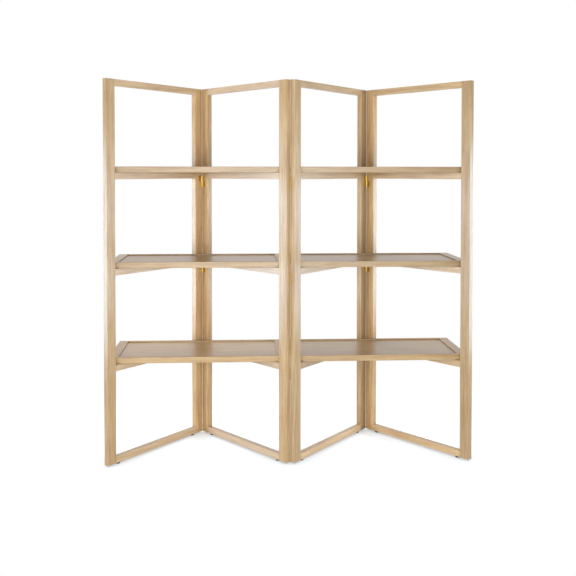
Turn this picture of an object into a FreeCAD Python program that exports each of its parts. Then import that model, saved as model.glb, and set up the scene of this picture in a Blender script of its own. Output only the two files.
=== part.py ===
# Folding etagere: four hinged wooden frames in a zigzag, with six loose shelves.
#
# Lengths are millimetres and the angle is in degrees. +Z is up and the front faces -Y. The
# origin lies on the floor under the middle of the piece.
#
# Each frame is built in axes of its own: X runs from its left end to its right end, Y from
# the face that looks forward to the face that looks back, and Z up from its foot. It is then
# turned by the fan angle and hung on its hinge pins, so the frames make two open bays. The
# pins of the two back joints stand just off the forward faces, and the pins of the centre
# joint stand just off the backward faces, so the whole piece folds flat like a screen. The
# pins stand a little in from the post ends, so the posts meet at their corners when the
# piece stands open, and those corners stop it from opening further.

import math
import os
import types

import FreeCAD, Part
import Sketcher

SIZES = {
    # Frames
    "frame_length": 762.0,
    "frame_height": 2024.0,
    "frame_thickness": 28.5,
    "post_width": 58.5,
    "rail_height": 35.0,
    "edge_round": 0.8,
    "fan_angle": 52.4,
    "corner_gap": 0.4,
    "lowest_rail_rise": 488.0,
    "shelf_pitch": 506.0,
    # Dowels between posts and rails
    "dowel_radius": 4.0,
    "dowel_length": 32.0,
    "dowel_spread": 16.0,
    "dowel_side_gap": 0.05,
    "dowel_end_gap": 0.5,
    # Glides under the bottom rails
    "glide_radius": 12.5,
    "glide_height": 8.0,
    "glide_round": 2.5,
    "glide_stem_radius": 3.0,
    "glide_stem_length": 15.0,
    "glide_stem_gap": 0.1,
    "glide_set_in": 23.0,
    # Lift-off flag hinges
    "hinge_drop": 51.5,
    "leaf_height": 31.8,
    "leaf_reach": 25.0,
    "leaf_thickness": 1.8,
    "barrel_radius": 3.5,
    "barrel_gap": 0.3,
    "pin_radius": 2.0,
    "pin_gap": 0.08,
    "knuckle_gap": 0.4,
    "screw_reach": 15.0,
    "screw_spread": 16.0,
    "screw_radius": 1.6,
    "screw_head_radius": 3.4,
    "screw_length": 18.0,
    "screw_gap": 0.05,
    "screw_slot_width": 0.9,
    "screw_slot_depth": 0.8,
    "pilot_end_gap": 1.0,
    # Shelves
    "shelf_thickness": 32.0,
    "shelf_end_width": 51.0,
    "shelf_strip_width": 20.0,
    "shelf_round": 2.0,
    "panel_recess": 7.0,
    "tongue_length": 10.0,
    "tongue_thickness": 8.0,
    "tongue_gap": 0.2,
    "shelf_side_gap": 13.0,
    "shelf_front_gap": 8.0,
    "shelf_swing_gap": 1.0,
    "shelf_seat_gap": 0.3,
    # Cuts run this far past the face that they open
    "overrun": 1.0,
}

UP = FreeCAD.Vector(0, 0, 1)
SHELF_LEVELS = ("lower", "middle", "upper")


class Size:
    """A length that carries its number and the sheet formula that gives it."""

    def __init__(self, number, formula):
        self.number = number
        self.formula = formula

    def __add__(self, other):
        return Size(self.number + other.number, f"({self.formula} + {other.formula})")

    def __sub__(self, other):
        return Size(self.number - other.number, f"({self.formula} - {other.formula})")

    def __mul__(self, count):
        return Size(self.number * count, f"({self.formula} * {count})")

    __rmul__ = __mul__

    def __truediv__(self, count):
        return Size(self.number / count, f"({self.formula} / {count})")

    def __neg__(self):
        return Size(-self.number, f"(-{self.formula})")


def make_sheet(doc):
    """Put every size in an aliased cell and return them as named Size values."""
    sheet = doc.addObject("Spreadsheet::Sheet", "Sizes")
    for row, (name, number) in enumerate(SIZES.items(), start=1):
        sheet.set(f"A{row}", name)
        sheet.set(f"B{row}", str(number))
        sheet.setAlias(f"B{row}", name)
    doc.recompute()
    return types.SimpleNamespace(
        **{name: Size(number, f"Sizes.{name}") for name, number in SIZES.items()}
    )


doc = FreeCAD.newDocument("folding_etagere")
dim = make_sheet(doc)
NOTHING = dim.overrun - dim.overrun

# Sizes that follow from the driving ones
rail_length = dim.frame_length - 2 * dim.post_width
top_rail_rise = dim.frame_height - dim.rail_height
shelf_rail_rises = [
    dim.lowest_rail_rise + level * dim.shelf_pitch for level in range(len(SHELF_LEVELS))
]
rail_rises = [NOTHING] + shelf_rail_rises + [top_rail_rise]
rail_names = ["bottom_rail", "lower_shelf_rail", "middle_shelf_rail", "upper_shelf_rail", "top_rail"]
hinge_height = 2 * dim.leaf_height + dim.knuckle_gap
hinge_foots = [
    rise + dim.rail_height - dim.hinge_drop - hinge_height / 2 for rise in shelf_rail_rises
]
panel_thickness = dim.shelf_thickness - dim.panel_recess
tongue_rise = (panel_thickness - dim.tongue_thickness) / 2
pivot_offset = dim.barrel_radius + dim.barrel_gap


def make_pivot_inset():
    """Return how far in from a post's end its pins stand, so that open posts nearly touch."""
    fan = math.radians(dim.fan_angle.number)
    half_gap = dim.corner_gap / 2
    number = pivot_offset.number * math.tan(fan) - half_gap.number / math.cos(fan)
    offset_part = f"{pivot_offset.formula} * tan(Sizes.fan_angle)"
    gap_part = f"{half_gap.formula} / cos(Sizes.fan_angle)"
    return Size(number, f"({offset_part} - {gap_part})")


pivot_inset = make_pivot_inset()


# Sketches and features


def origin_plane(body, role):
    """Return one of a body's own origin planes."""
    return next(plane for plane in body.Origin.OriginFeatures if plane.Role == role)


def new_sketch(body, name, role, offset=None):
    """Make a sketch on an origin plane, moved along the plane's normal by an offset."""
    sketch = body.newObject("Sketcher::SketchObject", name)
    sketch.AttachmentSupport = [(origin_plane(body, role), "")]
    sketch.MapMode = "FlatFace"
    if offset is not None:
        sketch.setExpression("AttachmentOffset.Base.z", offset.formula)
    return sketch


def constrain(sketch, kind, elements, size):
    """Add a driving dimension to a sketch and bind it to its sheet formula."""
    index = sketch.addConstraint(Sketcher.Constraint(kind, *elements, size.number))
    sketch.setExpression(f"Constraints[{index}]", size.formula)


def add_line(sketch, start, end):
    """Add a line between two places given as pairs of sizes."""
    ends = [FreeCAD.Vector(place[0].number, place[1].number, 0) for place in (start, end)]
    return sketch.addGeometry(Part.LineSegment(*ends), False)


def add_rectangle(sketch, left, low, wide, high):
    """Add a rectangle whose lower left corner lies at left, low."""
    right = left + wide
    top = low + high
    corners = [(left, low), (right, low), (right, top), (left, top)]
    lines = [add_line(sketch, corners[side], corners[(side + 1) % 4]) for side in range(4)]
    for side in range(4):
        following = lines[(side + 1) % 4]
        sketch.addConstraint(Sketcher.Constraint("Coincident", lines[side], 2, following, 1))
    for side in (0, 2):
        sketch.addConstraint(Sketcher.Constraint("Horizontal", lines[side]))
        sketch.addConstraint(Sketcher.Constraint("Vertical", lines[side + 1]))
    constrain(sketch, "DistanceX", (-1, 1, lines[0], 1), left)
    constrain(sketch, "DistanceY", (-1, 1, lines[0], 1), low)
    constrain(sketch, "DistanceX", (lines[0], 1, lines[0], 2), wide)
    constrain(sketch, "DistanceY", (lines[1], 1, lines[1], 2), high)


def add_rounded_rectangle(sketch, wide, high, radius):
    """Add a rectangle with rounded corners whose lower left corner is the sketch origin."""
    right = wide - radius
    top = high - radius
    lines = [
        add_line(sketch, (radius, NOTHING), (right, NOTHING)),
        add_line(sketch, (wide, radius), (wide, top)),
        add_line(sketch, (right, high), (radius, high)),
        add_line(sketch, (NOTHING, top), (NOTHING, radius)),
    ]
    centres = [(right, radius), (right, top), (radius, top), (radius, radius)]
    arcs = []
    for corner, (across, up) in enumerate(centres):
        centre = FreeCAD.Vector(across.number, up.number, 0)
        start = math.radians(90 * (corner - 1))
        circle = Part.Circle(centre, UP, radius.number)
        arcs.append(sketch.addGeometry(Part.ArcOfCircle(circle, start, start + math.pi / 2), False))
    for corner in range(4):
        following = lines[(corner + 1) % 4]
        sketch.addConstraint(Sketcher.Constraint("Tangent", lines[corner], 2, arcs[corner], 1))
        sketch.addConstraint(Sketcher.Constraint("Tangent", arcs[corner], 2, following, 1))
    for side in (0, 2):
        sketch.addConstraint(Sketcher.Constraint("Horizontal", lines[side]))
        sketch.addConstraint(Sketcher.Constraint("Vertical", lines[side + 1]))
    for corner in (1, 2, 3):
        sketch.addConstraint(Sketcher.Constraint("Equal", arcs[0], arcs[corner]))
    sketch.addConstraint(Sketcher.Constraint("PointOnObject", lines[0], 1, -1))
    sketch.addConstraint(Sketcher.Constraint("PointOnObject", lines[3], 1, -2))
    constrain(sketch, "Radius", (arcs[0],), radius)
    constrain(sketch, "DistanceX", (lines[3], 1, lines[1], 1), wide)
    constrain(sketch, "DistanceY", (lines[0], 1, lines[2], 1), high)


def add_circle(sketch, across, up, radius):
    """Add a circle with its centre at across, up."""
    centre = FreeCAD.Vector(across.number, up.number, 0)
    circle = sketch.addGeometry(Part.Circle(centre, UP, radius.number), False)
    constrain(sketch, "Radius", (circle,), radius)
    constrain(sketch, "DistanceX", (-1, 1, circle, 3), across)
    constrain(sketch, "DistanceY", (-1, 1, circle, 3), up)


def add_feature(body, kind, name, sketch, length, reverse=False):
    """Pad or pocket a sketch of a body."""
    feature = body.newObject(f"PartDesign::{kind}", name)
    feature.Profile = sketch
    feature.Type = "Length"
    feature.Reversed = reverse
    feature.setExpression("Length", length.formula)
    sketch.Visibility = False
    return feature


def new_body(name):
    """Make an empty body."""
    return doc.addObject("PartDesign::Body", name)


def cylinder(name, radius, length):
    """Make an upright cylinder on its own origin."""
    solid = doc.addObject("Part::Cylinder", name)
    solid.setExpression("Radius", radius.formula)
    solid.setExpression("Height", length.formula)
    return solid


def local_place(across, back, up, turn=None):
    """Return a placement at a place given by three sizes."""
    place = FreeCAD.Vector(across.number, back.number, up.number)
    return FreeCAD.Placement(place, turn if turn is not None else FreeCAD.Rotation())


def group(name, solids):
    """Join separate solids into one sub-part without fusing them."""
    compound = doc.addObject("Part::Compound", name)
    compound.Links = solids
    return compound


# Where the frames stand


class Frame:
    """One frame: its name, its turn about Z, and where its left forward corner stands."""

    def __init__(self, name, turn_sign, anchor, pivot):
        """Hang the frame so that the local place named anchor lies on the given pivot."""
        self.name = name
        self.rotation = FreeCAD.Rotation(UP, turn_sign * dim.fan_angle.number)
        self.corner = pivot - self.rotation.multVec(anchor)
        self.front_end_is_left = turn_sign > 0
        # Which face holds the hinges at each end; None where no frame joins on
        self.hinge_sides = {"left": None, "right": None}

    def world(self, place):
        """Turn a local place into a place in the part's frame."""
        return self.corner + self.rotation.multVec(place)

    def placement(self, inner):
        """Turn a local placement into one in the part's frame."""
        return FreeCAD.Placement(self.corner, self.rotation).multiply(inner)


def pin_place(end, side):
    """Return the local place of a hinge pin at one end and one face of a frame."""
    across = pivot_inset if end == "left" else dim.frame_length - pivot_inset
    back = -pivot_offset if side == "forward" else dim.frame_thickness + pivot_offset
    return FreeCAD.Vector(across.number, back.number, 0)


def centre_pin_set_back():
    """Return how far forward of the middle the centre pins stand."""
    turn = FreeCAD.Rotation(UP, -dim.fan_angle.number)
    pin = pin_place("right", "backward")
    front_corner = turn.multVec(FreeCAD.Vector(dim.frame_length.number, 0, 0) - pin)
    back_corner = turn.multVec(FreeCAD.Vector(0, dim.frame_thickness.number, 0) - pin)
    return (front_corner.y + back_corner.y) / 2


foot = FreeCAD.Vector(0, 0, dim.glide_height.number)
centre_pin = foot - FreeCAD.Vector(0, centre_pin_set_back(), 0)

left_inner = Frame("left_inner", -1, pin_place("right", "backward"), centre_pin)
back_left_pin = left_inner.world(pin_place("left", "forward"))
left_outer = Frame("left_outer", 1, pin_place("right", "forward"), back_left_pin)
right_inner = Frame("right_inner", 1, pin_place("left", "backward"), centre_pin)
back_right_pin = right_inner.world(pin_place("right", "forward"))
right_outer = Frame("right_outer", -1, pin_place("left", "forward"), back_right_pin)

left_outer.hinge_sides["right"] = "forward"
left_inner.hinge_sides["left"] = "forward"
left_inner.hinge_sides["right"] = "backward"
right_inner.hinge_sides["left"] = "backward"
right_inner.hinge_sides["right"] = "forward"
right_outer.hinge_sides["left"] = "forward"

frames = [left_outer, left_inner, right_inner, right_outer]


# Posts


def dowel_heights(rise):
    """Return the heights of a rail's two dowels above the rail's own reference."""
    middle = rise + dim.rail_height / 2
    return [middle - dim.dowel_spread / 2, middle + dim.dowel_spread / 2]


def bore_post_for_dowels(body, end):
    """Bore the inner edge of a post for the dowels of every rail."""
    offset = dim.post_width if end == "left" else NOTHING
    sketch = new_sketch(body, f"{body.Name}_dowel_places", "YZ_Plane", offset)
    for rise in rail_rises:
        for up in dowel_heights(rise):
            add_circle(sketch, dim.frame_thickness / 2, up, dim.dowel_radius + dim.dowel_side_gap)
    depth = dim.dowel_length / 2 + dim.dowel_end_gap
    add_feature(body, "Pocket", f"{body.Name}_dowel_bores", sketch, depth, end == "right")


def leaf_foot(hinge_foot, end):
    """Return the foot of a leaf: the upper one joins a frame's right end, the lower its left."""
    if end == "right":
        return hinge_foot + dim.leaf_height + dim.knuckle_gap
    return hinge_foot


def face_sketch(body, name, side):
    """Make a sketch on a frame's forward or backward face."""
    offset = NOTHING if side == "forward" else -dim.frame_thickness
    return new_sketch(body, name, "XZ_Plane", offset)


def bore_screw_pilots(body, end, side):
    """Bore the pilots of the hinge screws in the face that carries the leaves of one end."""
    from_end = pivot_inset + dim.screw_reach
    across = from_end if end == "left" else dim.post_width - from_end
    pilots = face_sketch(body, f"{body.Name}_pilot_places", side)
    for hinge_foot in hinge_foots:
        for up in screw_heights(leaf_foot(hinge_foot, end)):
            add_circle(pilots, across, up, dim.screw_radius + dim.screw_gap)
    depth = dim.screw_length - dim.leaf_thickness + dim.pilot_end_gap
    add_feature(body, "Pocket", f"{body.Name}_pilots", pilots, depth, side == "backward")


def make_post(frame, end):
    """Make the post at one end of a frame."""
    is_front = frame.front_end_is_left == (end == "left")
    name = f"{frame.name}_{'front' if is_front else 'back'}_post"
    body = new_body(name)
    sketch = new_sketch(body, f"{name}_section", "XY_Plane")
    add_rounded_rectangle(sketch, dim.post_width, dim.frame_thickness, dim.edge_round)
    add_feature(body, "Pad", f"{name}_length", sketch, dim.frame_height)
    bore_post_for_dowels(body, end)
    side = frame.hinge_sides[end]
    if side is not None:
        bore_screw_pilots(body, end, side)
    across = NOTHING if end == "left" else dim.frame_length - dim.post_width
    body.Placement = frame.placement(local_place(across, NOTHING, NOTHING))
    return body


# Rails, dowels and glides


# How far from a frame's left end its two glides stand
first_glide_place = dim.post_width + dim.glide_set_in
glide_places = [first_glide_place, dim.frame_length - first_glide_place]


def make_rail(frame, name, rise):
    """Make one rail, with the bores of its dowels in both ends."""
    body = new_body(f"{frame.name}_{name}")
    section = new_sketch(body, f"{body.Name}_section", "YZ_Plane")
    add_rounded_rectangle(section, dim.frame_thickness, dim.rail_height, dim.edge_round)
    add_feature(body, "Pad", f"{body.Name}_length", section, rail_length)
    for end, offset in (("left", NOTHING), ("right", rail_length)):
        places = new_sketch(body, f"{body.Name}_{end}_dowel_places", "YZ_Plane", offset)
        for up in dowel_heights(NOTHING):
            add_circle(places, dim.frame_thickness / 2, up, dim.dowel_radius + dim.dowel_side_gap)
        depth = dim.dowel_length / 2 + dim.dowel_end_gap
        add_feature(body, "Pocket", f"{body.Name}_{end}_dowel_bores", places, depth, end == "left")
    if name == "bottom_rail":
        bore_rail_for_glides(body)
    body.Placement = frame.placement(local_place(dim.post_width, NOTHING, rise))
    return body


def bore_rail_for_glides(body):
    """Bore the underside of a bottom rail for the stems of its glides."""
    places = new_sketch(body, f"{body.Name}_glide_places", "XY_Plane")
    for across in glide_places:
        radius = dim.glide_stem_radius + dim.glide_stem_gap
        add_circle(places, across - dim.post_width, dim.frame_thickness / 2, radius)
    depth = dim.glide_stem_length + dim.glide_stem_gap
    add_feature(body, "Pocket", f"{body.Name}_glide_bores", places, depth, True)


def make_dowels(frame):
    """Make the dowels that cross from the posts into the rails."""
    along = FreeCAD.Rotation(FreeCAD.Vector(0, 1, 0), 90)
    post_edges = [dim.post_width, dim.frame_length - dim.post_width]
    dowels = []
    for rise in rail_rises:
        for up in dowel_heights(rise):
            for edge in post_edges:
                name = f"{frame.name}_dowel_{len(dowels) + 1}"
                dowel = cylinder(name, dim.dowel_radius, dim.dowel_length)
                start = edge - dim.dowel_length / 2
                dowel.Placement = local_place(start, dim.frame_thickness / 2, up, along)
                dowels.append(dowel)
    dowel_set = group(f"{frame.name}_dowels", dowels)
    dowel_set.Placement = frame.placement(FreeCAD.Placement())
    return dowel_set


def make_glides(frame):
    """Make the round glides that a frame stands on, each with a stem in the bottom rail."""
    glides = []
    for across in glide_places:
        name = f"{frame.name}_glide_{len(glides) + 1}"
        disc = cylinder(f"{name}_disc", dim.glide_radius, dim.glide_height)
        stem = cylinder(f"{name}_stem", dim.glide_stem_radius, dim.glide_height + dim.glide_stem_length)
        blank = doc.addObject("Part::MultiFuse", f"{name}_blank")
        blank.Shapes = [disc, stem]
        doc.recompute()
        glide = doc.addObject("Part::Fillet", name)
        glide.Base = blank
        radius = dim.glide_round.number
        glide.Edges = [(bottom_rim(blank.Shape), radius, radius)]
        glide.Placement = local_place(across, dim.frame_thickness / 2, -dim.glide_height)
        glides.append(glide)
    glide_set = group(f"{frame.name}_glides", glides)
    glide_set.Placement = frame.placement(FreeCAD.Placement())
    return glide_set


def bottom_rim(shape):
    """Return the number of the round edge that lies lowest and reaches furthest out."""
    rims = [
        (edge.BoundBox.ZMax, -edge.BoundBox.XLength, number)
        for number, edge in enumerate(shape.Edges, start=1)
        if edge.isClosed()
    ]
    return min(rims)[2]


# Hinges


def screw_heights(low):
    """Return the heights of the two screws of a leaf whose foot is at low."""
    middle = low + dim.leaf_height / 2
    return [middle - dim.screw_spread / 2, middle + dim.screw_spread / 2]


def screw_solid(name):
    """Make a slotted countersunk screw that points along its own +Z from its head."""
    head = doc.addObject("Part::Cone", f"{name}_head")
    head.setExpression("Radius1", dim.screw_head_radius.formula)
    head.setExpression("Radius2", dim.screw_radius.formula)
    head.setExpression("Height", dim.leaf_thickness.formula)
    shank = cylinder(f"{name}_shank", dim.screw_radius, dim.screw_length)
    blank = doc.addObject("Part::MultiFuse", f"{name}_blank")
    blank.Shapes = [head, shank]
    slot_reach = dim.screw_head_radius + dim.overrun
    slot = doc.addObject("Part::Box", f"{name}_slot")
    slot.setExpression("Length", (2 * slot_reach).formula)
    slot.setExpression("Width", dim.screw_slot_width.formula)
    slot.setExpression("Height", (dim.screw_slot_depth + dim.overrun).formula)
    slot.Placement = local_place(-slot_reach, -dim.screw_slot_width / 2, -dim.overrun)
    screw = doc.addObject("Part::Cut", name)
    screw.Base = blank
    screw.Tool = slot
    return screw


def countersink(name):
    """Make the cutter of a leaf's screw hole, on the same axis as the screw."""
    sink = doc.addObject("Part::Cone", f"{name}_sink")
    sink.setExpression("Radius1", (dim.screw_head_radius + dim.screw_gap).formula)
    sink.setExpression("Radius2", (dim.screw_radius + dim.screw_gap).formula)
    sink.setExpression("Height", dim.leaf_thickness.formula)
    return sink


def toward_post(side):
    """Return the turn that points +Z from a hinged face into the post."""
    quarter = -90 if side == "forward" else 90
    return FreeCAD.Rotation(FreeCAD.Vector(1, 0, 0), quarter)


def screw_places(end, side, low):
    """Return the local placements of a leaf's screws in its frame."""
    pin = pin_place(end, side)
    inward = 1 if end == "left" else -1
    across = pin.x + inward * dim.screw_reach.number
    outer = -dim.leaf_thickness if side == "forward" else dim.frame_thickness + dim.leaf_thickness
    return [
        FreeCAD.Placement(FreeCAD.Vector(across, outer.number, up.number), toward_post(side))
        for up in screw_heights(low)
    ]


def make_hinge_screws(frame):
    """Make the screws of every leaf that a frame carries."""
    screws = []
    for end, side in frame.hinge_sides.items():
        if side is None:
            continue
        for hinge_foot in hinge_foots:
            for place in screw_places(end, side, leaf_foot(hinge_foot, end)):
                screw = screw_solid(f"{frame.name}_screw_{len(screws) + 1}")
                screw.Placement = place
                screws.append(screw)
    screw_set = group(f"{frame.name}_hinge_screws", screws)
    screw_set.Placement = frame.placement(FreeCAD.Placement())
    return screw_set


def make_leaf(name, end, side, low):
    """Make one hinge leaf with its barrel, in its frame's own axes."""
    pin = pin_place(end, side)
    plate = doc.addObject("Part::Box", f"{name}_plate")
    plate.setExpression("Length", dim.leaf_reach.formula)
    plate.setExpression("Width", dim.leaf_thickness.formula)
    plate.setExpression("Height", dim.leaf_height.formula)
    left = pin.x if end == "left" else pin.x - dim.leaf_reach.number
    front = -dim.leaf_thickness if side == "forward" else dim.frame_thickness
    plate.Placement.Base = FreeCAD.Vector(left, front.number, low.number)
    barrel = cylinder(f"{name}_barrel", dim.barrel_radius, dim.leaf_height)
    barrel.Placement.Base = FreeCAD.Vector(pin.x, pin.y, low.number)
    blank = doc.addObject("Part::MultiFuse", f"{name}_blank")
    blank.Shapes = [plate, barrel]
    bore = cylinder(f"{name}_bore", dim.pin_radius + dim.pin_gap, dim.leaf_height + 2 * dim.overrun)
    bore.Placement.Base = FreeCAD.Vector(pin.x, pin.y, (low - dim.overrun).number)
    cutters = [bore]
    for place in screw_places(end, side, low):
        sink = countersink(f"{name}_{len(cutters)}")
        sink.Placement = place
        cutters.append(sink)
    holes = doc.addObject("Part::MultiFuse", f"{name}_holes")
    holes.Shapes = cutters
    leaf = doc.addObject("Part::Cut", name)
    leaf.Base = blank
    leaf.Tool = holes
    return leaf


def make_pin(name, end, side, hinge_foot):
    """Make the pin of one hinge, which fills both barrels from end to end."""
    place = pin_place(end, side)
    pin = cylinder(name, dim.pin_radius, hinge_height)
    pin.Placement.Base = FreeCAD.Vector(place.x, place.y, hinge_foot.number)
    return pin


def make_hinge_leaves(joint, frame, end):
    """Make the leaves of one joint that a frame carries; the lower ones hold the pins."""
    side = frame.hinge_sides[end]
    kind = "upper" if end == "right" else "lower"
    solids = []
    for number, hinge_foot in enumerate(hinge_foots, start=1):
        name = f"{joint}_{kind}_leaf_{number}"
        solids.append(make_leaf(name, end, side, leaf_foot(hinge_foot, end)))
        if kind == "lower":
            solids.append(make_pin(f"{joint}_pin_{number}", end, side, hinge_foot))
    leaves = group(f"{joint}_hinge_{kind}_leaves", solids)
    leaves.Placement = frame.placement(FreeCAD.Placement())
    return leaves


# Shelves


def shelf_outline():
    """Return the left bay's shelf as left, front, width and depth in the part's frame.

    The sides stand clear of the neighbouring bay, the front lies behind the front posts, and
    the back clears the circle that the back posts sweep about their pins when the piece folds.
    """
    post_edge = dim.frame_length - dim.post_width
    inner_corner = FreeCAD.Vector(post_edge.number, dim.frame_thickness.number, 0)
    front = left_inner.world(inner_corner).y + dim.shelf_front_gap.number
    sweep = math.hypot(
        (dim.post_width - pivot_inset).number,
        (dim.frame_thickness + pivot_offset).number,
    )
    back = back_left_pin.y - sweep - dim.shelf_swing_gap.number
    bay_width = 2 * (centre_pin.x - back_left_pin.x)
    left = centre_pin.x - bay_width + dim.shelf_side_gap.number
    return left, front, bay_width - 2 * dim.shelf_side_gap.number, back - front


shelf_left, shelf_front, shelf_width_number, shelf_depth_number = shelf_outline()


def add_fitted_sizes():
    """Put the shelf's fitted width and depth in the sheet beside the driving sizes."""
    fitted = {"shelf_width": shelf_width_number, "shelf_depth": shelf_depth_number}
    sheet = doc.getObject("Sizes")
    for row, (name, number) in enumerate(fitted.items(), start=len(SIZES) + 1):
        sheet.set(f"A{row}", name)
        sheet.set(f"B{row}", str(number))
        sheet.setAlias(f"B{row}", name)
        setattr(dim, name, Size(number, f"Sizes.{name}"))
    doc.recompute()


add_fitted_sizes()
panel_width = dim.shelf_width - 2 * dim.shelf_end_width
panel_depth = dim.shelf_depth - 2 * dim.shelf_strip_width


def make_panel(name):
    """Make a shelf's panel, with a tongue along each end."""
    body = new_body(name)
    board = new_sketch(body, f"{name}_outline", "XY_Plane")
    add_rectangle(board, dim.shelf_end_width, dim.shelf_strip_width, panel_width, panel_depth)
    add_feature(body, "Pad", f"{name}_board", board, panel_thickness)
    tongues = new_sketch(body, f"{name}_tongue_outline", "XY_Plane", tongue_rise)
    left = dim.shelf_end_width - dim.tongue_length
    wide = panel_width + 2 * dim.tongue_length
    add_rectangle(tongues, left, dim.shelf_strip_width, wide, panel_depth)
    add_feature(body, "Pad", f"{name}_tongues", tongues, dim.tongue_thickness)
    return body


def make_breadboard_end(name, end):
    """Make the board that closes one end of a shelf, grooved for the panel's tongue."""
    body = new_body(f"{name}_{end}_end")
    section = new_sketch(body, f"{body.Name}_section", "XZ_Plane")
    add_rounded_rectangle(section, dim.shelf_end_width, dim.shelf_thickness, dim.shelf_round)
    add_feature(body, "Pad", f"{body.Name}_length", section, dim.shelf_depth, True)
    offset = dim.shelf_end_width if end == "left" else NOTHING
    groove = new_sketch(body, f"{body.Name}_groove_outline", "YZ_Plane", offset)
    add_rectangle(
        groove,
        dim.shelf_strip_width,
        tongue_rise - dim.tongue_gap,
        panel_depth,
        dim.tongue_thickness + 2 * dim.tongue_gap,
    )
    depth = dim.tongue_length + dim.tongue_gap
    add_feature(body, "Pocket", f"{body.Name}_groove", groove, depth, end == "right")
    across = NOTHING if end == "left" else dim.shelf_width - dim.shelf_end_width
    body.Placement = local_place(across, NOTHING, NOTHING)
    return body


def make_edge_strip(name, edge):
    """Make the strip along a shelf's front or back edge, between the breadboard ends."""
    body = new_body(f"{name}_{edge}_strip")
    section = new_sketch(body, f"{body.Name}_section", "YZ_Plane")
    add_rounded_rectangle(section, dim.shelf_strip_width, dim.shelf_thickness, dim.shelf_round)
    add_feature(body, "Pad", f"{body.Name}_length", section, panel_width)
    back = NOTHING if edge == "front" else dim.shelf_depth - dim.shelf_strip_width
    body.Placement = local_place(dim.shelf_end_width, back, NOTHING)
    return body


def make_shelf(level, bay):
    """Make one shelf: its panel, and the ends and strips round it."""
    name = f"{level}_{bay}_shelf"
    rise = shelf_rail_rises[SHELF_LEVELS.index(level)]
    seat = dim.glide_height + rise + dim.rail_height + dim.shelf_seat_gap
    left = shelf_left if bay == "left" else -shelf_left - dim.shelf_width.number
    place = FreeCAD.Placement(FreeCAD.Vector(left, shelf_front, seat.number), FreeCAD.Rotation())
    panel = make_panel(f"{name}_panel")
    pieces = [make_breadboard_end(name, end) for end in ("left", "right")]
    pieces += [make_edge_strip(name, edge) for edge in ("front", "back")]
    edging = group(f"{name}_edging", pieces)
    panel.Placement = place
    edging.Placement = place
    return [panel, edging]


# Assembly, checks and export


def make_frame(frame):
    """Make every piece that belongs to one frame, except its hinge leaves."""
    parts = [make_post(frame, end) for end in ("left", "right")]
    parts += [make_rail(frame, name, rise) for name, rise in zip(rail_names, rail_rises)]
    parts += [make_dowels(frame), make_glides(frame), make_hinge_screws(frame)]
    return parts


def check_document():
    """Stop if any object failed, or if a pocket took nothing away."""
    for item in doc.Objects:
        if "Invalid" in item.State or "Error" in item.State:
            raise RuntimeError(f"{item.Name} failed: {item.State}")
        if item.TypeId == "PartDesign::Pocket":
            if item.Shape.Volume >= item.BaseFeature.Shape.Volume:
                raise RuntimeError(f"{item.Name} cut nothing")


def export(sub_parts):
    """Check each sub-part and write it to a file of its own name."""
    os.makedirs("parts", exist_ok=True)
    for part in sub_parts:
        part.Label = part.Name
        if part.Shape.isNull() or not part.Shape.isValid():
            raise RuntimeError(f"{part.Name} has no valid shape")
        part.Shape.exportStep(os.path.join("parts", f"{part.Label}.step"))


sub_parts = []
for each_frame in frames:
    sub_parts += make_frame(each_frame)
joints = (
    ("back_left", left_outer, left_inner),
    ("centre", left_inner, right_inner),
    ("back_right", right_inner, right_outer),
)
for joint_name, frame_at_left, frame_at_right in joints:
    sub_parts.append(make_hinge_leaves(joint_name, frame_at_left, "right"))
    sub_parts.append(make_hinge_leaves(joint_name, frame_at_right, "left"))
for shelf_level in SHELF_LEVELS:
    for shelf_bay in ("left", "right"):
        sub_parts += make_shelf(shelf_level, shelf_bay)

doc.recompute()
check_document()
export(sub_parts)
print(f"{len(sub_parts)} sub-parts written")
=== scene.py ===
import math

import bpy
from mathutils import Euler, Matrix, Vector

# Looks of the folding etagere: pale lacquered wood, brass hinges and black glides, on a white floor

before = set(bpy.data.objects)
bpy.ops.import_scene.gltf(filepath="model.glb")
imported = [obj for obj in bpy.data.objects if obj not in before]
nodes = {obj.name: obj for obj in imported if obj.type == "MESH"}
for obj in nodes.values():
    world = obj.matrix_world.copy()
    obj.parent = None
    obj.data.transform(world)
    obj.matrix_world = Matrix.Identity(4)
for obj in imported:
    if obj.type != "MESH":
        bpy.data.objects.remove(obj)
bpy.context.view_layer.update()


# Colours


def srgb(red, green, blue):
    """Return a linear colour with alpha from 8-bit screen values."""
    def linear(value):
        share = value / 255
        return share / 12.92 if share <= 0.04045 else ((share + 0.055) / 1.055) ** 2.4
    return (linear(red), linear(green), linear(blue), 1.0)


def grey(level):
    """Return a grey with alpha from a linear level."""
    return (level, level, level, 1)


BLACK = grey(0)
WHITE = grey(1)


# Nodes of a material or world

# The sockets of a mix node that mix colours, which share their names with others of the node
MIX_FACTOR, MIX_FIRST, MIX_SECOND = 0, 6, 7
MIX_RESULT = 2


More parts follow.
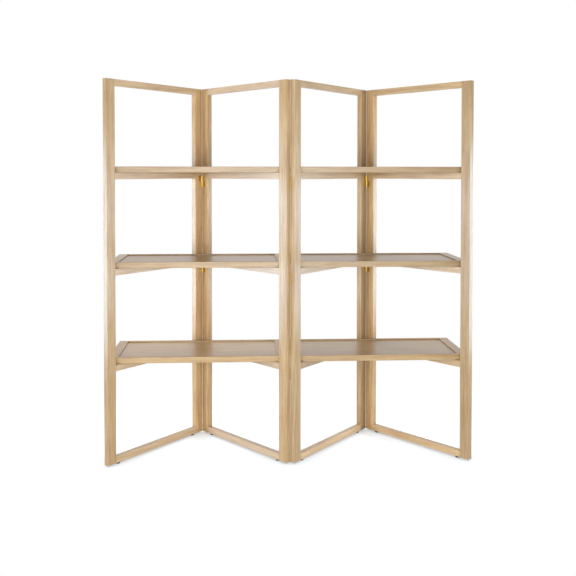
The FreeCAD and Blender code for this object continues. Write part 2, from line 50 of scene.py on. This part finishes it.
class Nodes:
    """The node tree of a new material or world, with short ways to add and link its nodes."""

    def __init__(self, owner, output):
        owner.use_nodes = True
        self.owner = owner
        self.tree = owner.node_tree
        self.tree.nodes.clear()
        self.output = self.add(output)

    def add(self, kind, **inputs):
        """Add a node and put its named inputs."""
        node = self.tree.nodes.new(kind)
        for name, value in inputs.items():
            self.put(node, name.replace("_", " "), value)
        return node

    def put(self, node, name, value):
        """Link one input of a node where the value is a socket, and set it where it isn't."""
        if isinstance(value, bpy.types.NodeSocket):
            self.tree.links.new(value, node.inputs[name])
        else:
            node.inputs[name].default_value = value

    def math(self, operation, first, second=0.0):
        """Add a math node and return its result."""
        node = self.add("ShaderNodeMath")
        node.operation = operation
        self.put(node, 0, first)
        self.put(node, 1, second)
        return node.outputs[0]

    def vector(self, operation, first, name, value):
        """Add a vector math node on a vector and one more input, and return the node."""
        node = self.add("ShaderNodeVectorMath")
        node.operation = operation
        self.put(node, 0, first)
        self.put(node, name, value)
        return node

    def noise(self, place, scale, **settings):
        """Add a noise texture and return its value."""
        return self.add("ShaderNodeTexNoise", Vector=place, Scale=scale, **settings).outputs[0]

    def span(self, value, levels, **settings):
        """Spread a value from 0 to 1 over a pair of levels, and return the result."""
        low, high = levels
        node = self.add("ShaderNodeMapRange", Value=value, To_Min=low, To_Max=high, **settings)
        return node.outputs[0]

    def ramp(self, factor, stops):
        """Add a colour ramp through (place, colour) stops and return its colour."""
        node = self.add("ShaderNodeValToRGB", Fac=factor)
        elements = node.color_ramp.elements
        while len(elements) < len(stops):
            elements.new(0.5)
        for element, (place, colour) in zip(elements, stops):
            element.position = place
            element.color = colour
        return node.outputs["Color"]

    def mix(self, factor, first, second, blend="MIX"):
        """Mix two colours and return the result."""
        node = self.add("ShaderNodeMix")
        node.data_type = "RGBA"
        node.blend_type = blend
        self.put(node, MIX_FACTOR, factor)
        self.put(node, MIX_FIRST, first)
        self.put(node, MIX_SECOND, second)
        return node.outputs[MIX_RESULT]

    def tint(self, colour, share):
        """Multiply a colour by another and return the result."""
        return self.mix(1.0, colour, share, "MULTIPLY")

    def openness(self, reach, samples):
        """Return how open a place is, from 0 deep in a corner to 1 out of reach of anything."""
        node = self.add("ShaderNodeAmbientOcclusion", Distance=reach)
        node.samples = samples
        return node.outputs["AO"]

    def bump(self, height, strength, distance):
        """Add a bump node and return its normal."""
        node = self.add("ShaderNodeBump", Height=height, Strength=strength, Distance=distance)
        return node.outputs["Normal"]

    def seen_share(self):
        """Return 1 for camera, glossy and transmission rays, and 0 for the rest."""
        path = self.add("ShaderNodeLightPath").outputs
        mirrored = self.math("MAXIMUM", path["Is Glossy Ray"], path["Is Transmission Ray"])
        return self.math("MAXIMUM", path["Is Camera Ray"], mirrored)

    def finish(self, surface):
        """Link the surface to the output and return the material or world."""
        self.tree.links.new(surface.outputs[0], self.output.inputs["Surface"])
        return self.owner


def material_nodes(name):
    """Start a material."""
    return Nodes(bpy.data.materials.new(name), "ShaderNodeOutputMaterial")


# Wood

WOOD_MID = srgb(186, 156, 112)
WOOD_PALE = srgb(201, 173, 134)
WOOD_DARK = srgb(168, 134, 92)
WOOD_PORE = srgb(138, 105, 70)

# The figure and the pores: how many of their features there are to a metre, along the grain and in
# the two directions across it, and where the colours lie on the noise
FIGURE_SCALE = (4.0, 75.0, 75.0)
FIGURE_NOISE = {"Detail": 5.0, "Roughness": 0.6, "Distortion": 0.5}
FIGURE_STOPS = [(0.30, WOOD_DARK), (0.5, WOOD_MID), (0.70, WOOD_PALE)]
PORE_SCALE = (14.0, 620.0, 620.0)
PORE_NOISE = {"Detail": 3.0, "Roughness": 0.6}
PORE_STOPS = [(0.34, WHITE), (0.46, BLACK)]
PORE_SHARE = 0.35
# Large soft patches, from slightly darker and yellower to slightly lighter and greyer
CLOUD_SCALE = 5.0
CLOUD_DETAIL = 3.0
CLOUD_STOPS = [(0.3, (0.95, 0.92, 0.90, 1)), (0.7, (1.04, 1.06, 1.08, 1))]
# How far apart two pieces' figures lie, in metres of the same wood
SEED_STEP = (3.7, 1.9, 2.3)

# Painted shade in the corners of a joint: how far into them, in metres, and its tone
CORNER_SHADE_REACH = 0.012
CORNER_SHADE_SAMPLES = 8
CORNER_SHADE_TONE = 0.62
# The lacquer: its roughness on the pores and between them, and its relief, in metres
LACQUER_ROUGHNESS = (0.36, 0.28)
LACQUER_LEVEL = 0.62
RELIEF_STRENGTH = 0.25
RELIEF_DEPTH = 0.0004
PORE_RELIEF = 0.6

# How light each piece's wood is beside the middle tone, partly the boards' own colour and partly
# painted light and shade: the shelves are darker towards the top and to the right, and other pieces
# are lighter or darker to even out how the lamps fall on them
TONES = {
    "left_outer_front_post": 1.02, "left_outer_back_post": 1.29,
    "left_inner_back_post": 1.11, "left_inner_front_post": 1.01,
    "right_inner_front_post": 0.97, "right_inner_back_post": 0.82,
    "right_outer_back_post": 1.22, "right_outer_front_post": 0.88,
    "lower_left_shelf_edging": 1.02, "lower_right_shelf_edging": 0.93,
    "middle_left_shelf_edging": 0.84, "middle_right_shelf_edging": 0.76,
    "upper_left_shelf_edging": 0.77, "upper_right_shelf_edging": 0.75,
    "lower_left_shelf_panel": 1.20, "lower_right_shelf_panel": 0.94,
    "middle_left_shelf_panel": 0.79, "middle_right_shelf_panel": 0.73,
    "right_inner_bottom_rail": 1.22, "right_outer_bottom_rail": 1.08,
    "right_inner_lower_shelf_rail": 0.90,
}
# The same for the rails of each frame, and for the rails at each level of the frames, also partly
# painted light and shade
RAIL_TONES = {"left_outer": 1.16, "left_inner": 1.02, "right_inner": 1.02, "right_outer": 1.11}
LEVEL_TONES = {"top": 0.97, "upper": 0.95, "middle": 1.0, "lower": 0.94, "bottom": 1.06}

# Painted light and shade on a post's narrow faces, for how the lamps fall on them: how light they
# are painted beside its wide ones, and how squarely a face lies across the frame where that tone
# starts and where it is full
NARROW_FACE_SHADES = {
    "left_outer_front_post": 0.78, "left_outer_back_post": 0.84,
    "left_inner_back_post": 0.86, "left_inner_front_post": 1.05,
    "right_inner_front_post": 1.03, "right_inner_back_post": 1.20,
    "right_outer_back_post": 0.85, "right_outer_front_post": 0.87,
}
NARROW_SHADE_START = 0.6
NARROW_SHADE_FULL = 0.9

# How much of a pale wash lies on the rails of each frame, and on the shelf panels
WASH = srgb(222, 208, 196)
RAIL_WASHES = {"left_outer": 0.10, "left_inner": 0.28, "right_inner": 0.12, "right_outer": 0.04}
PANEL_WASH = 0.10
# The yellow cast of the shelves' edge strips
EDGING_CAST = (1.0, 0.97, 0.89)

# The turn of each frame's rails about Z, in degrees, and the frames that turn the other way
FAN_ANGLE = 52.4
RISING = ("left_outer", "right_inner")
# The turn that lays the grain along a post and along a shelf, as Euler angles in degrees
UPRIGHT = (0, 90, 0)
ACROSS = (0, 0, 0)


def wood(name, grain, seed, tone=1.0, run=None, narrow_shade=1.0, wash=0.0, cast=(1.0, 1.0, 1.0)):
    """Make lacquered wood whose grain runs along an axis turned by grain, an Euler in degrees.

    seed picks the figure. tone is how light the wood is, wash how much pale wash lies on it, and
    cast its tint. Where run, the direction of a frame, is given, the faces across it are painted
    lighter or darker by the shade given after run, painted light and shade for how the lamps fall.
    """
    shader = material_nodes(name)
    turned = shader.add(
        "ShaderNodeMapping",
        Vector=shader.add("ShaderNodeTexCoord").outputs["Object"],
        Rotation=[math.radians(angle) for angle in grain],
        Location=[seed * step for step in SEED_STEP],
    ).outputs[0]
    figure_place = shader.add("ShaderNodeMapping", Vector=turned, Scale=FIGURE_SCALE).outputs[0]
    figure = shader.noise(figure_place, 1.0, **FIGURE_NOISE)
    pore_place = shader.add("ShaderNodeMapping", Vector=turned, Scale=PORE_SCALE).outputs[0]
    pores = shader.noise(pore_place, 1.0, **PORE_NOISE)
    cloud = shader.noise(turned, CLOUD_SCALE, Detail=CLOUD_DETAIL)

    body = shader.ramp(figure, FIGURE_STOPS)
    pore_share = shader.math("MULTIPLY", shader.ramp(pores, PORE_STOPS), PORE_SHARE)
    grained = shader.mix(pore_share, body, WOOD_PORE)
    clouded = shader.tint(grained, shader.ramp(cloud, CLOUD_STOPS))
    washed = shader.mix(wash, clouded, WASH)
    toned = shader.tint(washed, (*(tone * share for share in cast), 1))
    # Painted light and shade: the faces across the frame, the posts' narrow faces, are made lighter
    # or darker
    if run:
        normal = shader.add("ShaderNodeTexCoord").outputs["Normal"]
        across = shader.vector("DOT_PRODUCT", normal, 1, run).outputs["Value"]
        squareness = shader.math("ABSOLUTE", across)
        stops = [(NARROW_SHADE_START, WHITE), (NARROW_SHADE_FULL, grey(narrow_shade))]
        toned = shader.tint(toned, shader.ramp(squareness, stops))
    # Painted shade: the wood is darkened in corners and joints, where other pieces close in on it
    corner_shaded = shader.tint(toned, grey(CORNER_SHADE_TONE))
    colour = shader.mix(shader.openness(CORNER_SHADE_REACH, CORNER_SHADE_SAMPLES), corner_shaded, toned)

    relief = shader.math("ADD", shader.math("MULTIPLY", pores, PORE_RELIEF), figure)
    return shader.finish(shader.add(
        "ShaderNodeBsdfPrincipled",
        Base_Color=colour,
        Roughness=shader.span(pores, LACQUER_ROUGHNESS),
        Normal=shader.bump(relief, RELIEF_STRENGTH, RELIEF_DEPTH),
        Specular_IOR_Level=LACQUER_LEVEL,
    ))


# Metal and plastic

BRASS_CLOUD_SCALE = 180.0
BRASS_STOPS = [(0.3, srgb(176, 146, 66)), (0.7, srgb(214, 186, 104))]
BRASS_ROUGHNESS = (0.22, 0.38)

PLASTIC_GRAIN_SCALE = 900.0
PLASTIC_STOPS = [(0.3, srgb(12, 12, 13)), (0.7, srgb(24, 24, 26))]
PLASTIC_ROUGHNESS = 0.62
PLASTIC_RELIEF_STRENGTH = 0.2
PLASTIC_RELIEF_DEPTH = 0.0002


def brass():
    """Make satin brass with slightly darker and shinier patches."""
    shader = material_nodes("satin_brass")
    place = shader.add("ShaderNodeTexCoord").outputs["Object"]
    cloud = shader.noise(place, BRASS_CLOUD_SCALE, Detail=3.0)
    return shader.finish(shader.add(
        "ShaderNodeBsdfPrincipled",
        Base_Color=shader.ramp(cloud, BRASS_STOPS),
        Roughness=shader.span(cloud, BRASS_ROUGHNESS),
        Metallic=1.0,
    ))


def glide_plastic():
    """Make black moulded plastic with a fine grain."""
    shader = material_nodes("black_plastic")
    place = shader.add("ShaderNodeTexCoord").outputs["Object"]
    grain = shader.noise(place, PLASTIC_GRAIN_SCALE, Detail=2.0)
    return shader.finish(shader.add(
        "ShaderNodeBsdfPrincipled",
        Base_Color=shader.ramp(grain, PLASTIC_STOPS),
        Roughness=PLASTIC_ROUGHNESS,
        Normal=shader.bump(grain, PLASTIC_RELIEF_STRENGTH, PLASTIC_RELIEF_DEPTH),
    ))


# Each CAD node's material


def wood_of(node, seed):
    """Make the wood of a post, rail, panel, edge strip or set of dowels."""
    name = f"wood_{node}"
    tone = TONES.get(node, 1.0)
    turn = -FAN_ANGLE if node.startswith(RISING) else FAN_ANGLE
    if node.endswith("_post"):
        run = (math.cos(math.radians(turn)), -math.sin(math.radians(turn)), 0)
        return wood(name, UPRIGHT, seed, tone, run=run, narrow_shade=NARROW_FACE_SHADES[node])
    if node.endswith("_rail"):
        owner = next(owner for owner in RAIL_TONES if node.startswith(owner))
        level = next(level for level in LEVEL_TONES if level in node)
        tone *= RAIL_TONES[owner] * LEVEL_TONES[level]
        return wood(name, (0, 0, turn), seed, tone, wash=RAIL_WASHES[owner])
    if node.endswith("_panel"):
        return wood(name, ACROSS, seed, tone, wash=PANEL_WASH)
    if node.endswith("_edging"):
        return wood(name, ACROSS, seed, tone, cast=EDGING_CAST)
    return wood(name, ACROSS, seed, tone)


def dress_nodes():
    """Give every CAD node its material in place of its own."""
    metal = brass()
    plastic = glide_plastic()
    for seed, node in enumerate(sorted(nodes)):
        if node.endswith(("_post", "_rail", "_panel", "_edging", "_dowels")):
            material = wood_of(node, seed)
        elif node.endswith("_glides"):
            material = plastic
        else:
            material = metal
        slots = nodes[node].data.materials
        slots.clear()
        slots.append(material)


# Floor and world

# Lengths are in metres. Where the camera or a gloss sees the floor, it is partly a white that
# glows by itself and partly lit, so that it is white but keeps the object's shadow. FLOOR_GLOW is
# the glowing share near the object, and over SHADOW_REACH from the middle it becomes the whole.
# FLOOR_GAIN lifts the lit share to white.
FLOOR_HALF = 30.0
FLOOR_COLOUR = (0.79, 0.89, 1.0)
FLOOR_GLOW = 0.65
FLOOR_GAIN = 2.45
SHADOW_REACH = (1.0, 1.9)
# The painted shadow on the floor under the rails and posts: how far it reaches, and its tone
CONTACT_SHADOW_REACH = 0.15
CONTACT_SHADOW_SAMPLES = 16
CONTACT_SHADOW_TONE = 0.56
# The strength of the world's light on the object. To the camera and to gloss it is 1, white.
WORLD_LEVEL = 0.43


def make_floor():
    """Lay a white floor that shows the object's soft shadow near it and plain white far off."""
    mesh = bpy.data.meshes.new("floor")
    corners = [(-1, -1), (1, -1), (1, 1), (-1, 1)]
    mesh.from_pydata([(x * FLOOR_HALF, y * FLOOR_HALF, 0) for x, y in corners], [], [(0, 1, 2, 3)])
    floor = bpy.data.objects.new("floor", mesh)
    bpy.context.scene.collection.objects.link(floor)

    shader = material_nodes("white_floor")
    seen = shader.seen_share()
    distance = shader.add("ShaderNodeVectorMath")
    distance.operation = "LENGTH"
    shader.put(distance, 0, shader.add("ShaderNodeTexCoord").outputs["Object"])
    start, end = SHADOW_REACH
    glow = shader.span(distance.outputs["Value"], (FLOOR_GLOW, 1.0), From_Min=start, From_Max=end)
    # Painted shadow: the floor is darkened where the pieces stand close to it
    contact_shadow = shader.span(shader.openness(CONTACT_SHADOW_REACH, CONTACT_SHADOW_SAMPLES), (CONTACT_SHADOW_TONE, 1.0))

    glowing = shader.math("MULTIPLY", seen, glow)
    lit = shader.math("SUBTRACT", seen, glowing)
    gain = shader.math("MULTIPLY", contact_shadow, FLOOR_GAIN)
    unseen = shader.math("SUBTRACT", 1.0, seen)
    reflected = shader.math("ADD", shader.math("MULTIPLY", lit, gain), unseen)
    colour = shader.vector("SCALE", FLOOR_COLOUR, "Scale", reflected).outputs[0]
    matt = shader.add("ShaderNodeBsdfDiffuse", Color=colour)
    bright = shader.add("ShaderNodeEmission", Strength=shader.math("MULTIPLY", glowing, contact_shadow))
    both = shader.add("ShaderNodeAddShader")
    shader.put(both, 0, matt.outputs[0])
    shader.put(both, 1, bright.outputs[0])
    mesh.materials.append(shader.finish(both))


def make_world():
    """Light the object evenly, and show white to the camera and to reflections."""
    shader = Nodes(bpy.data.worlds.new("studio"), "ShaderNodeOutputWorld")
    strength = shader.span(shader.seen_share(), (WORLD_LEVEL, 1.0))
    background = shader.add("ShaderNodeBackground", Color=WHITE, Strength=strength)
    bpy.context.scene.world = shader.finish(background)


# Lamps, in metres and watts. A lamp that isn't mirrored leaves no streak in the lacquer. The two
# windows only show in it, as the cool sheen of the posts between the lower and upper shelves.
LAMPS = [
    {"name": "left_lamp", "place": (-5.0, -1.2, 0.8), "target": (0, 0, 0.7),
     "size": (3.0, 1.5), "power": 116, "mirrored": False},
    {"name": "right_lamp", "place": (5.0, -1.2, 0.8), "target": (0, 0, 0.7),
     "size": (3.0, 1.5), "power": 100, "mirrored": False},
    {"name": "front_left_lamp", "place": (-3.2, -6.0, 1.7), "target": (0, 0, 1.0),
     "size": (3.0, 3.0), "power": 83},
    {"name": "front_lamp", "place": (0.0, -6.5, 1.1), "target": (0, 0, 0.8),
     "size": (3.0, 2.0), "power": 166},
    {"name": "back_lamp", "place": (-0.5, 2.6, 4.6), "target": (0, 0, 0),
     "size": (1.2, 1.2), "power": 48, "mirrored": False},
    {"name": "left_window", "place": (-2.0, -0.12, 1.05), "target": (0, -0.12, 1.05),
     "size": (1.15, 1.3), "power": 34, "colour": (0.53, 0.74, 0.97), "lights": False},
    {"name": "right_window", "place": (2.0, -0.12, 1.05), "target": (0, -0.12, 1.05),
     "size": (1.15, 1.3), "power": 34, "colour": (0.57, 0.77, 0.97), "lights": False},
]


def soft_panel(name, place, target, size, power, colour=(1, 1, 1), lights=True, mirrored=True):
    """Stand a flat soft lamp that faces a target.

    It lights the pieces where lights is set, and shows in their gloss where mirrored is.
    """
    light = bpy.data.lights.new(name, "AREA")
    light.shape = "RECTANGLE"
    light.size, light.size_y = size
    light.energy = power
    light.color = colour
    lamp = bpy.data.objects.new(name, light)
    bpy.context.scene.collection.objects.link(lamp)
    lamp.location = place
    lamp.rotation_euler = (Vector(target) - Vector(place)).to_track_quat("-Z", "Y").to_euler()
    lamp.visible_diffuse = lights
    lamp.visible_glossy = mirrored


# Camera, in metres and degrees, fitted to the photograph
CAMERA_PLACE = (-0.2644, -4.8608, 1.5457)
CAMERA_YAW = 3.163
CAMERA_PITCH = 1.576
CAMERA_ROLL = 0.034
CAMERA_FAR = 100
# Its focal length and the row of its optical axis, in pixels of the photograph, and its sensor
FOCAL_PIXELS = 869.5
PRINCIPAL_ROW = 196.1
IMAGE_PIXELS = 576
SENSOR_MM = 36.0


def make_camera():
    """Stand the camera where the photograph was taken from."""
    data = bpy.data.cameras.new("camera")
    data.sensor_width = SENSOR_MM
    data.lens = FOCAL_PIXELS / IMAGE_PIXELS * SENSOR_MM
    data.shift_y = (PRINCIPAL_ROW - IMAGE_PIXELS / 2) / IMAGE_PIXELS
    data.clip_end = CAMERA_FAR
    camera = bpy.data.objects.new("camera", data)
    bpy.context.scene.collection.objects.link(camera)
    level = Euler((math.radians(90 - CAMERA_PITCH), 0, math.radians(-CAMERA_YAW))).to_matrix()
    roll = Matrix.Rotation(math.radians(CAMERA_ROLL), 3, "Z")
    camera.matrix_world = Matrix.Translation(CAMERA_PLACE) @ (level @ roll).to_4x4()
    bpy.context.scene.camera = camera


dress_nodes()
make_floor()
make_world()
for lamp_settings in LAMPS:
    soft_panel(**lamp_settings)
make_camera()
bpy.context.scene.view_settings.view_transform = "Standard"
